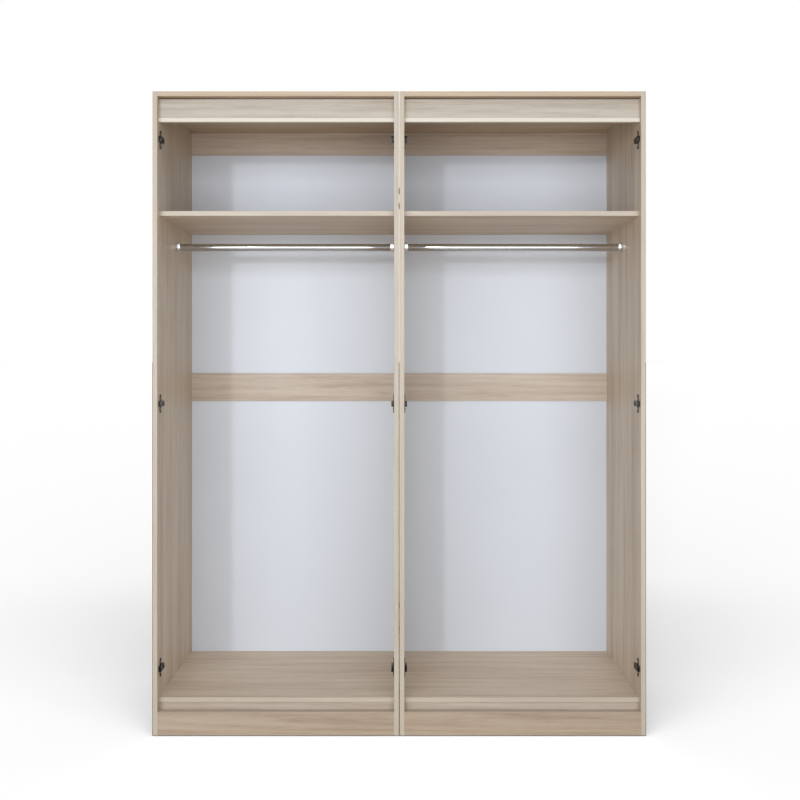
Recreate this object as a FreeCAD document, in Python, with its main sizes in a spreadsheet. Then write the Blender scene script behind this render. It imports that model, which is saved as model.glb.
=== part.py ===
import FreeCAD, Part
import os
import Sketcher
from FreeCAD import Rotation, Vector

# A tall wardrobe of two matching bays that stand side by side, bolted together,
# with their doors lifted off.  Millimetres; +X to the right, +Y to the back, +Z up.
# The origin is on the floor, in the middle of the footprint.
#
# Inside a bay, sizes are counted from three datums: the bay's middle (X),
# the front plane (depth, growing backwards) and the floor (height).

SIZES = [
    ("unit_width", 760, "overall width of one bay"),
    ("seam_gap", 2, "gap between the two bays, filled by spacers at the bolts"),
    ("total_depth", 530, "side panels, front to back"),
    ("total_height", 1990, "floor to the top of the wardrobe"),
    ("board", 15, "board thickness"),
    ("glide_height", 3, "head of the nail-on glides under the sides"),
    ("edge_round", 0.8, "rounding of the banded front edges"),
    ("fascia_height", 75, "foot of the front board under the top, below the top's underside"),
    ("fascia_gap", 5, "shadow gap between the top and that front board"),
    ("fascia_setback", 20, "fascia behind the front plane"),
    ("lip_height", 12, "pale lip along the foot of the fascia"),
    ("lip_proud", 1.5, "how far that lip stands forward"),
    ("shelf_level", 1610, "underside of the shelf"),
    ("shelf_setback", 30, "shelf behind the front plane"),
    ("bottom_level", 97, "underside of the bottom panel"),
    ("bottom_setback", 25, "bottom panel behind the front plane"),
    ("plinth_height", 72, "plinth board"),
    ("base_rail_height", 60, "rail under the front of the bottom panel"),
    ("base_rail_setback", 32, "base rail behind the front plane"),
    ("top_back_rail_height", 80, "back rail under the top"),
    ("mid_back_rail_height", 100, "back rail that joins the two back panels"),
    ("mid_back_rail_level", 1012, "underside of that rail"),
    ("rail_lead", 6, "back rails stand this far in front of the back panels"),
    ("back_thickness", 3, "white back panels"),
    ("back_recess", 17, "free space behind the back panels"),
    ("groove_depth", 6, "groove that holds the back panels"),
    ("groove_slack", 0.2, "extra width of that groove"),
    ("edge_slack", 0.5, "back panel short of the groove's bottom"),
    ("tube_diameter", 25, "hanging rail"),
    ("tube_wall", 1.2, "wall of that tube"),
    ("tube_level", 1537, "centre of the hanging rail"),
    ("tube_slack", 0.5, "end of the tube to the floor of its socket"),
    ("socket_floor", 4, "socket plate against the side panel"),
    ("socket_reach", 13, "socket along the rail, plate included"),
    ("socket_wall", 3, "wall around the tube"),
    ("socket_fit", 0.3, "play between tube and socket, per side"),
    ("socket_arm", 15, "arms of the open socket above the tube's centre"),
    ("socket_screw_pitch", 14, "between the two screws of a socket"),
    ("hinge_line", 37, "hinge screws behind the front plane"),
    ("hinge_from_end", 127.5, "hinge plate to the end of the door opening"),
    ("hinge_screw_pitch", 32, "between the two screws of a plate"),
    ("wing_length", 58, "hinge plate, up and down"),
    ("wing_width", 13, "width of its wings"),
    ("wing_thickness", 2.5, "thickness of its wings"),
    ("block_length", 44, "raised middle of the plate, front to back"),
    ("block_width", 17, "raised middle, up and down"),
    ("block_height", 8.5, "raised middle above the side panel"),
    ("block_round", 1.5, "rounding of the raised middle"),
    ("arm_hole_diameter", 5, "threaded hole for the hinge arm's screw"),
    ("screw_diameter", 3.5, "fixing screws of the metalwork"),
    ("screw_grip", 11, "screw inside the board"),
    ("screw_head_diameter", 7, "its head"),
    ("screw_head_height", 2, "its head"),
    ("cross_length", 4, "cross recess of the head"),
    ("cross_width", 0.9, "width of the recess"),
    ("cross_depth", 1.2, "depth of the recess"),
    ("hole_slack", 0.3, "hole wider than the screw or pin in it"),
    ("dowel_diameter", 8, "glued dowels"),
    ("dowel_length", 28, "dowel, end to end"),
    ("dowel_bite", 10, "dowel inside the side panel"),
    ("dowel_edge", 45, "outer dowels of a deep board, in from its edges"),
    ("dowel_inset", 18, "dowels of an upright board, in from its edges"),
    ("pin_diameter", 1.4, "back panel pins"),
    ("pin_length", 20, "pin under its head"),
    ("pin_head_diameter", 4, "pin head"),
    ("pin_head_height", 0.8, "pin head"),
    ("pin_edge", 60, "outer pins in from the sides"),
    ("glide_diameter", 14, "glide head"),
    ("glide_spike_diameter", 2, "glide spike"),
    ("glide_spike_length", 14, "glide spike inside the board"),
    ("glide_inset", 40, "glides in from the front and the back"),
    ("bolt_diameter", 6, "sleeve of the bolts that join the bays"),
    ("bolt_head_diameter", 10, "their flat heads"),
    ("bolt_head_height", 1.5, "their flat heads"),
    ("bolt_core_diameter", 4, "screw inside the sleeve"),
    ("bolt_sleeve_length", 22, "sleeve under its head"),
    ("bolt_overlap", 9, "screw inside the sleeve, lengthwise"),
    ("bolt_inset", 110, "joining bolts in from the front and the back"),
    ("bolt_low_level", 300, "lower joining bolts"),
    ("bolt_high_level", 1700, "upper joining bolts"),
    ("spacer_diameter", 20, "spacers in the gap between the bays"),
]

PINS_PER_BOARD = 5

document = FreeCAD.newDocument("wardrobe")
sheet = document.addObject("Spreadsheet::Sheet", "Sizes")
for row, (size_name, size, meaning) in enumerate(SIZES, start=1):
    sheet.set(f"A{row}", size_name)
    sheet.set(f"B{row}", str(size))
    sheet.set(f"C{row}", meaning)
    sheet.setAlias(f"B{row}", size_name)
document.recompute()

# Expressions that several pieces share.
BAYS = {
    "left": "-(Sizes.unit_width + Sizes.seam_gap) / 2",
    "right": "(Sizes.unit_width + Sizes.seam_gap) / 2",
}
INNER_WIDTH = "(Sizes.unit_width - 2 * Sizes.board)"
BACK_FACE = "(Sizes.total_depth - Sizes.back_recess - Sizes.back_thickness)"
TOP_LEVEL = "(Sizes.total_height - Sizes.board)"
DOOR_FOOT = "(Sizes.glide_height + Sizes.plinth_height)"
HINGE_LEVELS = {
    "low": f"{DOOR_FOOT} + Sizes.hinge_from_end",
    "middle": f"({DOOR_FOOT} + {TOP_LEVEL}) / 2",
    "high": f"{TOP_LEVEL} - Sizes.hinge_from_end",
}
TUBE_DEPTH = "(Sizes.total_depth / 2)"
PILOT_DIAMETER = "Sizes.screw_diameter + Sizes.hole_slack"
PILOT_DEPTH = "Sizes.screw_grip + 1"

# The boards that run across a bay, by their section: front face, run backwards,
# underside and height.  "deep" boards lie flat, the others stand on edge.
BOARDS = {
    "top_panel": ("0", "Sizes.total_depth", TOP_LEVEL, "Sizes.board"),
    "fascia": ("Sizes.fascia_setback", "Sizes.board",
               f"{TOP_LEVEL} - Sizes.fascia_height", "Sizes.fascia_height - Sizes.fascia_gap"),
    "shelf": ("Sizes.shelf_setback", f"{BACK_FACE} - Sizes.shelf_setback",
              "Sizes.shelf_level", "Sizes.board"),
    "top_back_rail": (f"{BACK_FACE} - Sizes.rail_lead", "Sizes.board",
                      f"{TOP_LEVEL} - Sizes.top_back_rail_height", "Sizes.top_back_rail_height"),
    "mid_back_rail": (f"{BACK_FACE} - Sizes.rail_lead", "Sizes.board",
                      "Sizes.mid_back_rail_level", "Sizes.mid_back_rail_height"),
    "bottom_panel": ("Sizes.bottom_setback", f"{BACK_FACE} - Sizes.bottom_setback",
                     "Sizes.bottom_level", "Sizes.board"),
    "base_rail": ("Sizes.base_rail_setback", "Sizes.board",
                  "Sizes.bottom_level - Sizes.base_rail_height", "Sizes.base_rail_height"),
    "plinth": ("0", "Sizes.board", "Sizes.glide_height", "Sizes.plinth_height"),
}
DEEP_BOARDS = ("top_panel", "shelf", "bottom_panel")
BANDED_BOARDS = ("top_panel", "shelf", "bottom_panel", "plinth")


def value(expression):
    """The number that an expression on the sheet gives now."""
    return float(sheet.evalExpression(expression))


def place(piece, x="0", depth="0", height="0"):
    """Bind a piece's place; depth is counted from the front plane."""
    piece.setExpression("Placement.Base.x", x)
    piece.setExpression("Placement.Base.y", f"({depth}) - Sizes.total_depth / 2")
    piece.setExpression("Placement.Base.z", height)


# ---- sketches and features -------------------------------------------------

def new_body(name):
    body = document.addObject("PartDesign::Body", name)
    body.Label = name
    return body


def new_sketch(body, plane, offset="0"):
    """An empty sketch on one of the body's origin planes, moved along its normal."""
    sketch = body.newObject("Sketcher::SketchObject", f"{body.Name}_sketch")
    support = [item for item in body.Origin.OriginFeatures if item.Role == plane]
    sketch.AttachmentSupport = [(support[0], "")]
    sketch.MapMode = "FlatFace"
    if offset != "0":
        sketch.setExpression("AttachmentOffset.Base.z", offset)
    return sketch


def pin_down(sketch, geometry, point, across, along):
    """Fix a sketch point at (across, along); a place of zero is a point on the axis."""
    axes = {"DistanceX": (across, -2), "DistanceY": (along, -1)}
    for kind, (expression, axis) in axes.items():
        if abs(value(expression)) < 1e-9:
            sketch.addConstraint(Sketcher.Constraint("PointOnObject", geometry, point, axis))
            continue
        constraint = Sketcher.Constraint(kind, -1, 1, geometry, point, value(expression))
        index = sketch.addConstraint(constraint)
        sketch.setExpression(f"Constraints[{index}]", expression)


def rectangle(sketch, left, low, wide, tall):
    """A rectangle from its low left corner, fully constrained."""
    x, y, w, h = value(left), value(low), value(wide), value(tall)
    corners = [Vector(x, y), Vector(x + w, y), Vector(x + w, y + h), Vector(x, y + h)]
    sides = [sketch.addGeometry(Part.LineSegment(corners[i], corners[(i + 1) % 4]))
             for i in range(4)]
    for i in range(4):
        joint = Sketcher.Constraint("Coincident", sides[i], 2, sides[(i + 1) % 4], 1)
        sketch.addConstraint(joint)
        sketch.addConstraint(Sketcher.Constraint(("Horizontal", "Vertical")[i % 2], sides[i]))
    pin_down(sketch, sides[0], 1, left, low)
    width = sketch.addConstraint(Sketcher.Constraint("DistanceX", sides[0], 1, sides[0], 2, w))
    sketch.setExpression(f"Constraints[{width}]", wide)
    height = sketch.addConstraint(Sketcher.Constraint("DistanceY", sides[1], 1, sides[1], 2, h))
    sketch.setExpression(f"Constraints[{height}]", tall)


def circles(sketch, centres, diameter):
    """Equal circles at the given (across, along) centres."""
    radius = value(diameter) / 2
    for across, along in centres:
        centre = Vector(value(across), value(along))
        ring = sketch.addGeometry(Part.Circle(centre, Vector(0, 0, 1), radius))
        pin_down(sketch, ring, 3, across, along)
        index = sketch.addConstraint(Sketcher.Constraint("Diameter", ring, 2 * radius))
        sketch.setExpression(f"Constraints[{index}]", diameter)


def pad(body, sketch, length, reverse=False, symmetric=False):
    feature = body.newObject("PartDesign::Pad", f"{body.Name}_pad")
    feature.Profile = sketch
    feature.setExpression("Length", length)
    feature.Reversed = reverse
    if symmetric:
        feature.SideType = "Symmetric"
    document.recompute()
    return feature


def cut(body, sketch, depth, reverse=False, symmetric=False):
    """A pocket that has to take material away."""
    before = body.Shape.Volume
    feature = body.newObject("PartDesign::Pocket", f"{body.Name}_pocket")
    feature.Profile = sketch
    feature.setExpression("Length", depth)
    feature.Reversed = reverse
    if symmetric:
        feature.SideType = "Symmetric"
    document.recompute()
    if body.Shape.Volume > before - 1e-6:
        raise RuntimeError(f"{body.Label}: a pocket cuts nothing")
    return feature


def round_edges(body, radius, wanted):
    """Round the edges of the last feature that wanted(edge's box) picks."""
    base = body.Tip
    names = [f"Edge{number}" for number, edge in enumerate(base.Shape.Edges, start=1)
             if wanted(edge.BoundBox)]
    fillet = body.newObject("PartDesign::Fillet", f"{body.Name}_round")
    fillet.Base = (base, names)
    fillet.setExpression("Radius", radius)
    document.recompute()


def near(first, second):
    return abs(first - second) < 1e-4


# ---- dowels: one list of places for the boards, the side panels and the dowels --

def dowel_places(board):
    """(depth, height) of the dowels in each end of a board."""
    front, run, low, tall = BOARDS[board]
    if board in DEEP_BOARDS:
        height = f"{low} + {tall} / 2"
        return [(f"{front} + Sizes.dowel_edge", height),
                (f"{front} + ({run}) / 2", height),
                (f"{front} + {run} - Sizes.dowel_edge", height)]
    depth = f"{front} + {run} / 2"
    return [(depth, f"{low} + Sizes.dowel_inset"),
            (depth, f"{low} + {tall} - Sizes.dowel_inset")]


def all_dowel_places():
    return [place_of_one for board in BOARDS for place_of_one in dowel_places(board)]


# ---- boards ----------------------------------------------------------------

def cross_board(bay, board):
    """A board across the bay: its section padded both ways from the middle, drilled at the ends."""
    front, run, low, tall = BOARDS[board]
    body = new_body(f"{bay}_{board}")
    section = new_sketch(body, "YZ_Plane")
    rectangle(section, front, low, run, tall)
    pad(body, section, INNER_WIDTH, symmetric=True)
    if board in BANDED_BOARDS:
        face = value(front)
        round_edges(body, "Sizes.edge_round",
                    lambda box: near(box.YMin, face) and near(box.YMax, face) and box.XLength > 1)
    for end, reverse in (("/ 2", False), ("/ -2", True)):
        holes = new_sketch(body, "YZ_Plane", f"{INNER_WIDTH} {end}")
        circles(holes, dowel_places(board), "Sizes.dowel_diameter + Sizes.hole_slack")
        cut(body, holes, "Sizes.dowel_length - Sizes.dowel_bite + 1", reverse=reverse)
    place(body, BAYS[bay])
    return body


def fascia(bay):
    """The front board under the top, with its pale lip along the foot."""
    front, _, low, _ = BOARDS["fascia"]
    body = cross_board(bay, "fascia")
    lip = new_sketch(body, "YZ_Plane")
    rectangle(lip, f"{front} - Sizes.lip_proud", low, "Sizes.lip_proud", "Sizes.lip_height")
    pad(body, lip, INNER_WIDTH, symmetric=True)
    face = value(f"{front} - Sizes.lip_proud")
    round_edges(body, "Sizes.lip_proud / 2",
                lambda box: near(box.YMin, face) and near(box.YMax, face) and box.XLength > 1)
    return body


def groove(body, low, tall):
    """A slot along a back rail for the edge of a back panel."""
    slot = new_sketch(body, "YZ_Plane")
    rectangle(slot, BACK_FACE, low, "Sizes.back_thickness + Sizes.groove_slack", tall)
    cut(body, slot, INNER_WIDTH, symmetric=True)


def top_back_rail(bay):
    _, _, low, _ = BOARDS["top_back_rail"]
    body = cross_board(bay, "top_back_rail")
    groove(body, low, "Sizes.groove_depth")
    return body


def mid_back_rail(bay):
    _, _, low, tall = BOARDS["mid_back_rail"]
    body = cross_board(bay, "mid_back_rail")
    groove(body, low, "Sizes.groove_depth")
    groove(body, f"{low} + {tall} - Sizes.groove_depth", "Sizes.groove_depth")
    return body


def pinned_board(bay, board):
    """A flat board whose back edge is drilled for the back panel pins."""
    _, _, low, tall = BOARDS[board]
    body = cross_board(bay, board)
    holes = new_sketch(body, "XZ_Plane", f"-{BACK_FACE}")
    places = [(across, f"{low} + {tall} / 2") for across in pin_row()]
    circles(holes, places, "Sizes.pin_diameter + Sizes.hole_slack")
    cut(body, holes, "Sizes.pin_length - Sizes.back_thickness + 1", reverse=True)
    return body


def pin_row():
    """Places across the bay of one row of pins, evenly spread."""
    reach = f"({INNER_WIDTH} - 2 * Sizes.pin_edge)"
    last = PINS_PER_BOARD - 1
    return [f"{reach} * {step} / {last} - {reach} / 2" for step in range(PINS_PER_BOARD)]


def side_panel(bay, side):
    """A full-height side board; its own X = 0 is the face inside the bay."""
    outward = {"left": -1, "right": 1}[side]
    body = new_body(f"{bay}_side_{side}")
    outline = new_sketch(body, "YZ_Plane")
    rectangle(outline, "0", "Sizes.glide_height", "Sizes.total_depth",
              "Sizes.total_height - Sizes.glide_height")
    pad(body, outline, "Sizes.board", reverse=outward < 0)
    round_edges(body, "Sizes.edge_round",
                lambda box: near(box.YMin, 0) and near(box.YMax, 0) and box.ZLength > box.XLength)
    slot = new_sketch(body, "YZ_Plane")
    rectangle(slot, BACK_FACE, "Sizes.glide_height",
              "Sizes.back_thickness + Sizes.groove_slack",
              f"{TOP_LEVEL} - Sizes.glide_height")
    cut(body, slot, "Sizes.groove_depth", reverse=outward > 0)
    drill(body, all_dowel_places(), "Sizes.dowel_diameter + Sizes.hole_slack",
          "Sizes.dowel_bite", outward)
    drill(body, hinge_screw_places() + socket_screw_places(), PILOT_DIAMETER, PILOT_DEPTH, outward)
    faces_the_other_bay = bay != side
    if faces_the_other_bay:
        drill(body, bolt_places(), "Sizes.bolt_diameter + Sizes.hole_slack",
              "Sizes.board + 1", outward)
    spikes = new_sketch(body, "XY_Plane", "Sizes.glide_height")
    middle = f"{outward} * Sizes.board / 2"
    circles(spikes, [(middle, depth) for depth in glide_depths()],
            "Sizes.glide_spike_diameter + Sizes.hole_slack")
    cut(body, spikes, "Sizes.glide_spike_length + 1", reverse=True)
    place(body, f"{BAYS[bay]} + {outward} * {INNER_WIDTH} / 2")
    return body


def glide_depths():
    return ["Sizes.glide_inset", "Sizes.total_depth - Sizes.glide_inset"]


def bolt_places():
    """(depth, height) of the bolts that join the two bays."""
    depths = ("Sizes.bolt_inset", "Sizes.total_depth - Sizes.bolt_inset")
    levels = ("Sizes.bolt_low_level", "Sizes.bolt_high_level")
    return [(depth, level) for depth in depths for level in levels]


def drill(body, places, diameter, depth, outward):
    """Holes in the face of a side panel that looks into the bay."""
    holes = new_sketch(body, "YZ_Plane")
    circles(holes, places, diameter)
    cut(body, holes, depth, reverse=outward > 0)


def back_panel(bay, name, low, top, pin_level):
    """A thin white sheet held in the grooves and pinned to one board."""
    body = new_body(f"{bay}_{name}")
    outline = new_sketch(body, "YZ_Plane")
    rectangle(outline, BACK_FACE, low, "Sizes.back_thickness", f"{top} - ({low})")
    pad(body, outline, f"{INNER_WIDTH} + 2 * (Sizes.groove_depth - Sizes.edge_slack)",
        symmetric=True)
    holes = new_sketch(body, "XZ_Plane", f"-{BACK_FACE}")
    circles(holes, [(across, pin_level) for across in pin_row()],
            "Sizes.pin_diameter + Sizes.hole_slack")
    cut(body, holes, "Sizes.back_thickness + 1")
    place(body, BAYS[bay])
    return body


def back_panels(bay):
    """The lower and the upper sheet; they meet behind the middle back rail."""
    held = "(Sizes.groove_depth - Sizes.edge_slack)"
    rail_top = "(Sizes.mid_back_rail_level + Sizes.mid_back_rail_height)"
    lower = back_panel(bay, "back_panel_lower", "Sizes.bottom_level",
                       f"Sizes.mid_back_rail_level + {held}",
                       "Sizes.bottom_level + Sizes.board / 2")
    upper = back_panel(bay, "back_panel_upper", f"{rail_top} - {held}",
                       f"{TOP_LEVEL} - Sizes.top_back_rail_height + {held}",
                       "Sizes.shelf_level + Sizes.board / 2")
    return [lower, upper]


# ---- hanging rail and its sockets ------------------------------------------

def cylinder(name, diameter, length):
    piece = document.addObject("Part::Cylinder", name)
    piece.setExpression("Radius", f"({diameter}) / 2")
    piece.setExpression("Height", length)
    return piece


def block(name, length, width, height):
    piece = document.addObject("Part::Box", name)
    piece.setExpression("Length", length)
    piece.setExpression("Width", width)
    piece.setExpression("Height", height)
    return piece


def shift(piece, x="0", y="0", z="0"):
    """Bind the place of a building block inside its own piece."""
    for axis, expression in zip("xyz", (x, y, z)):
        piece.setExpression(f"Placement.Base.{axis}", expression)


def fuse(name, pieces):
    joined = document.addObject("Part::MultiFuse", name)
    joined.Shapes = pieces
    joined.Refine = True
    return joined


def subtract(name, base, tool):
    result = document.addObject("Part::Cut", name)
    result.Base = base
    result.Tool = tool
    return result


def turn(piece, axis, angle):
    piece.Placement.Rotation = Rotation(axis, angle)


def hanging_rail(bay):
    """A plain chromed tube that lies in the two sockets."""
    name = f"{bay}_hanging_rail"
    length = f"{INNER_WIDTH} - 2 * (Sizes.socket_floor + Sizes.tube_slack)"
    outside = cylinder(f"{name}_outside", "Sizes.tube_diameter", length)
    inside = cylinder(f"{name}_inside", "Sizes.tube_diameter - 2 * Sizes.tube_wall", length)
    tube = subtract(name, outside, inside)
    turn(tube, Vector(0, 1, 0), 90)
    place(tube, f"{BAYS[bay]} - ({length}) / 2", TUBE_DEPTH, "Sizes.tube_level")
    return tube


def socket_screw_places():
    """(depth, height) of the two screws inside a socket."""
    return [(TUBE_DEPTH, f"Sizes.tube_level {sign} Sizes.socket_screw_pitch / 2")
            for sign in "+-"]


def rail_socket(bay, side):
    """A cup, open at the top, that the hanging rail drops into; its X = 0 is the side panel."""
    name = f"{bay}_rail_socket_{side}"
    bore = "(Sizes.tube_diameter + 2 * Sizes.socket_fit)"
    outer = f"({bore} + 2 * Sizes.socket_wall)"
    grow = "(Sizes.socket_reach - Sizes.socket_floor)"
    bowl = cylinder(f"{name}_bowl", outer, "Sizes.socket_reach")
    arms = block(f"{name}_arms", "Sizes.socket_arm", outer, "Sizes.socket_reach")
    shift(arms, y=f"-{outer} / 2")
    hollow = cylinder(f"{name}_hollow", bore, f"{grow} + 1")
    shift(hollow, z="Sizes.socket_floor")
    mouth = block(f"{name}_mouth", "Sizes.socket_arm + 1", bore, f"{grow} + 1")
    shift(mouth, y=f"-{bore} / 2", z="Sizes.socket_floor")
    cutters = [hollow, mouth]
    for number, sign in enumerate("+-"):
        across = f"{sign}Sizes.socket_screw_pitch / 2"
        hole = cylinder(f"{name}_hole_{number}", PILOT_DIAMETER, "Sizes.socket_floor")
        shift(hole, x=across)
        recess = cylinder(f"{name}_recess_{number}",
                          "Sizes.screw_head_diameter + 2 * Sizes.hole_slack",
                          "Sizes.socket_floor")
        shift(recess, x=across, z="Sizes.socket_floor - Sizes.screw_head_height")
        cutters += [hole, recess]
    solid = fuse(f"{name}_solid", [bowl, arms])
    socket = subtract(name, solid, fuse(f"{name}_cutters", cutters))
    # The cup is drawn along +Z with its mouth towards +X, then laid over: mouth up,
    # cup pointing into the bay.
    mouth_up = Rotation(Vector(0, 1, 0), -90)
    about_face = Rotation(Vector(0, 0, 1), 0 if side == "right" else 180)
    socket.Placement.Rotation = about_face.multiply(mouth_up)
    inner = {"left": -1, "right": 1}[side]
    place(socket, f"{BAYS[bay]} + {inner} * {INNER_WIDTH} / 2", TUBE_DEPTH, "Sizes.tube_level")
    return socket


# ---- hinge plates ----------------------------------------------------------

def hinge_screw_places():
    """(depth, height) of every hinge screw in one side panel."""
    return [("Sizes.hinge_line", f"{level} {sign} Sizes.hinge_screw_pitch / 2")
            for level in HINGE_LEVELS.values() for sign in "+-"]


def hinge_plate(bay, side, level_name):
    """The mounting plate that a door hinge's arm clips over; its X = 0 is the side panel."""
    body = new_body(f"{bay}_hinge_plate_{side}_{level_name}")
    half_span = "(Sizes.wing_length - Sizes.wing_width) / 2"
    wings = new_sketch(body, "YZ_Plane")
    rectangle(wings, "-Sizes.wing_width / 2", f"-{half_span}", "Sizes.wing_width",
              f"2 * {half_span}")
    pad(body, wings, "Sizes.wing_thickness")
    ends = new_sketch(body, "YZ_Plane")
    circles(ends, [("0", half_span), ("0", f"-{half_span}")], "Sizes.wing_width")
    pad(body, ends, "Sizes.wing_thickness")
    middle = new_sketch(body, "YZ_Plane")
    rectangle(middle, "-Sizes.block_length / 2", "-Sizes.block_width / 2",
              "Sizes.block_length", "Sizes.block_width")
    pad(body, middle, "Sizes.block_height")
    crest = value("Sizes.block_height")
    round_edges(body, "Sizes.block_round",
                lambda box: near(box.XMin, crest) and near(box.XMax, crest))
    holes = new_sketch(body, "YZ_Plane")
    places = [("0", f"{sign}Sizes.hinge_screw_pitch / 2") for sign in ("", "-")]
    circles(holes, places, PILOT_DIAMETER)
    circles(holes, [("0", "0")], "Sizes.arm_hole_diameter")
    cut(body, holes, "Sizes.block_height + 1", reverse=True)
    if side == "right":
        turn(body, Vector(0, 0, 1), 180)
    inner = {"left": -1, "right": 1}[side]
    place(body, f"{BAYS[bay]} + {inner} * {INNER_WIDTH} / 2", "Sizes.hinge_line",
          HINGE_LEVELS[level_name])
    return body


# ---- fasteners: one pattern piece each, copied by links ------------------------

INTO_BAY = {"left": Rotation(Vector(0, 1, 0), 90), "right": Rotation(Vector(0, 1, 0), -90)}
BACKWARDS = Rotation(Vector(1, 0, 0), -90)
HEAD_DOWN = Rotation(Vector(1, 0, 0), 180)


def headed(name, head_diameter, head_height, shank_diameter, shank_length):
    """A round head standing on Z = 0 with its shank below."""
    head = cylinder(f"{name}_head", head_diameter, head_height)
    shank = cylinder(f"{name}_shank", shank_diameter, shank_length)
    shift(shank, z=f"-({shank_length})")
    return fuse(f"{name}_pattern", [head, shank])


def cross_screw(name, shank_length):
    """A fixing screw with a cross recess in its head."""
    solid = headed(name, "Sizes.screw_head_diameter", "Sizes.screw_head_height",
                   "Sizes.screw_diameter", shank_length)
    arms = []
    for number, (wide, tall) in enumerate((("Sizes.cross_length", "Sizes.cross_width"),
                                           ("Sizes.cross_width", "Sizes.cross_length"))):
        arm = block(f"{name}_recess_{number}", wide, tall, "Sizes.cross_depth + 1")
        shift(arm, f"-{wide} / 2", f"-{tall} / 2", "Sizes.screw_head_height - Sizes.cross_depth")
        arms.append(arm)
    return subtract(f"{name}_crossed", solid, fuse(f"{name}_recess", arms))


def drilled(name, pattern, diameter, depth, start):
    """The pattern with a round hole along its axis."""
    hole = cylinder(f"{name}_bore", diameter, depth)
    shift(hole, z=start)
    return subtract(f"{name}_drilled", pattern, hole)


def group(name, copies):
    """Copies of pattern pieces that share one node, each (pattern, turn, x, depth, height)."""
    links = []
    for number, (pattern, rotation, x, depth, height) in enumerate(copies):
        link = document.addObject("App::Link", f"{name}_{number}")
        link.LinkedObject = pattern
        link.Placement.Rotation = rotation
        place(link, x, depth, height)
        links.append(link)
    together = document.addObject("Part::Compound", name)
    together.Links = links
    return together


def inner_face(bay, side):
    sign = {"left": "-", "right": "+"}[side]
    return f"{BAYS[bay]} {sign} {INNER_WIDTH} / 2"


def beyond_face(bay, side, distance):
    """X at a distance from a side panel's inner face, counted into the bay."""
    sign = {"left": "+", "right": "-"}[side]
    return f"{inner_face(bay, side)} {sign} ({distance})"


def bay_fasteners(bay, patterns):
    """Every group of identical fasteners of one bay."""
    dowels, hinge_screws, socket_screws, glides = [], [], [], []
    for side in ("left", "right"):
        turned = INTO_BAY[side]
        buried = beyond_face(bay, side, "-Sizes.dowel_bite")
        dowels += [(patterns["dowel"], turned, buried, *at) for at in all_dowel_places()]
        on_wing = beyond_face(bay, side, "Sizes.wing_thickness")
        hinge_screws += [(patterns["hinge_screw"], turned, on_wing, *at)
                         for at in hinge_screw_places()]
        on_floor = beyond_face(bay, side, "Sizes.socket_floor - Sizes.screw_head_height")
        socket_screws += [(patterns["socket_screw"], turned, on_floor, *at)
                          for at in socket_screw_places()]
        under = beyond_face(bay, side, "-Sizes.board / 2")
        glides += [(patterns["glide"], HEAD_DOWN, under, depth, "Sizes.glide_height")
                   for depth in glide_depths()]
    pins = [(patterns["pin"], BACKWARDS, f"{BAYS[bay]} + {across}",
             f"{BACK_FACE} + Sizes.back_thickness", f"{level} + Sizes.board / 2")
            for level in ("Sizes.bottom_level", "Sizes.shelf_level") for across in pin_row()]
    return [group(f"{bay}_dowels", dowels),
            group(f"{bay}_hinge_plate_screws", hinge_screws),
            group(f"{bay}_rail_socket_screws", socket_screws),
            group(f"{bay}_floor_glides", glides),
            group(f"{bay}_back_panel_pins", pins)]


def joining_bolts(patterns):
    """The sleeve bolts and spacers that hold the two bays together."""
    left_face = inner_face("left", "right")
    right_face = inner_face("right", "left")
    heads_left = [(patterns["sleeve"], INTO_BAY["right"], left_face, *at) for at in bolt_places()]
    heads_right = [(patterns["bolt"], INTO_BAY["left"], right_face, *at) for at in bolt_places()]
    between = [(patterns["spacer"], INTO_BAY["left"], "-Sizes.seam_gap / 2", *at)
               for at in bolt_places()]
    return [group("joining_sleeves", heads_left),
            group("joining_bolts", heads_right),
            group("joining_spacers", between)]


def fastener_patterns():
    grip = "(2 * Sizes.board + Sizes.seam_gap)"
    sleeve = headed("sleeve", "Sizes.bolt_head_diameter", "Sizes.bolt_head_height",
                    "Sizes.bolt_diameter", "Sizes.bolt_sleeve_length")
    spacer = cylinder("spacer_disc", "Sizes.spacer_diameter", "Sizes.seam_gap")
    return {
        "dowel": cylinder("dowel_pattern", "Sizes.dowel_diameter", "Sizes.dowel_length"),
        "hinge_screw": cross_screw("hinge_screw", "Sizes.wing_thickness + Sizes.screw_grip"),
        "socket_screw": cross_screw(
            "socket_screw",
            "Sizes.socket_floor - Sizes.screw_head_height + Sizes.screw_grip"),
        "glide": headed("glide", "Sizes.glide_diameter", "Sizes.glide_height",
                        "Sizes.glide_spike_diameter", "Sizes.glide_spike_length"),
        "pin": headed("pin", "Sizes.pin_head_diameter", "Sizes.pin_head_height",
                      "Sizes.pin_diameter", "Sizes.pin_length"),
        "sleeve": drilled("sleeve", sleeve, "Sizes.bolt_core_diameter + Sizes.hole_slack",
                          "Sizes.bolt_overlap + 2", "-Sizes.bolt_sleeve_length - 1"),
        "bolt": headed("bolt", "Sizes.bolt_head_diameter", "Sizes.bolt_head_height",
                       "Sizes.bolt_core_diameter",
                       f"{grip} - Sizes.bolt_sleeve_length + Sizes.bolt_overlap"),
        "spacer": drilled("spacer", spacer, "Sizes.bolt_diameter + Sizes.hole_slack",
                          "Sizes.seam_gap + 2", "-1"),
    }


# ---- the whole wardrobe --------------------------------------------------------

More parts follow.
